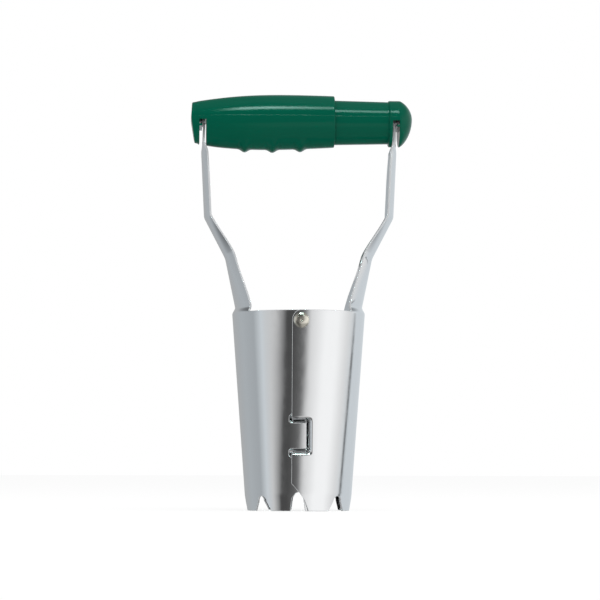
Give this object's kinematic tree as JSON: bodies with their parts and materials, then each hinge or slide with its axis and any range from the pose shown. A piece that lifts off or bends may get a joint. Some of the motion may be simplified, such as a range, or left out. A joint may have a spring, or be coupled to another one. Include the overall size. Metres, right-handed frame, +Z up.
{
  "type": "bulb planter",
  "caption": "Hand bulb planter: toothed steel tube in two halves that pivot on rivets and open when the sprung handle on their arms is squeezed.",
  "frame": {"origin": "on the plane of the tooth tips, below the middle of the overall size", "axes": "+Z up along the tube's axis from the teeth to the handle; +X along the handle towards the domed collar; -Y is the front, where the right half lies over the left half"},
  "size_m": [0.1221, 0.0782, 0.2287],
  "materials": {
    "zinc_plated_steel": "bright zinc plated sheet with a satin sheen",
    "nickel_plated_rivet": "polished, slightly warm",
    "green_plastic": "glossy moulded",
    "spring_steel": "drawn wire"
  },
  "bodies": {
    "pivot_rivets": {"front_rivet": "nickel_plated_rivet", "back_rivet": "nickel_plated_rivet"},
    "left_half": {"left_half_shell": "zinc_plated_steel"},
    "right_half": {"right_half_shell": "zinc_plated_steel"},
    "outer_handle": {"outer_grip": "green_plastic", "handle_spring": "spring_steel"},
    "inner_handle": {"inner_grip": "green_plastic"}
  },
  "joints": [
    {"name": "left_half_pivot", "type": "hinge", "parent": "pivot_rivets", "child": "left_half", "pos_m": [-0.0015, 0, 0.1026], "axis": [0, 1, 0], "range_deg": [0, 7], "stiffness_Nm_per_rad": 50, "springref_deg": -1.26, "deforming": ["handle_spring"]},
    {"name": "right_half_pivot", "type": "hinge", "parent": "pivot_rivets", "child": "right_half", "pos_m": [-0.0015, 0, 0.1026], "axis": [0, 1, 0], "range_deg": [-7, 0]},
    {"name": "outer_grip_tilt", "type": "hinge", "parent": "left_half", "child": "outer_handle", "pos_m": [-0.05495, 0, 0.2116], "axis": [0, 1, 0], "range_deg": [-7, 0]},
    {"name": "inner_grip_tilt", "type": "hinge", "parent": "right_half", "child": "inner_handle", "pos_m": [0.05195, 0, 0.2116], "axis": [0, 1, 0], "range_deg": [0, 7]}
  ],
  "couplings": [
    {"joint": "right_half_pivot", "follows": "left_half_pivot", "ratio": -1},
    {"joint": "outer_grip_tilt", "follows": "left_half_pivot", "ratio": -1},
    {"joint": "inner_grip_tilt", "follows": "left_half_pivot", "ratio": 1}
  ]
}
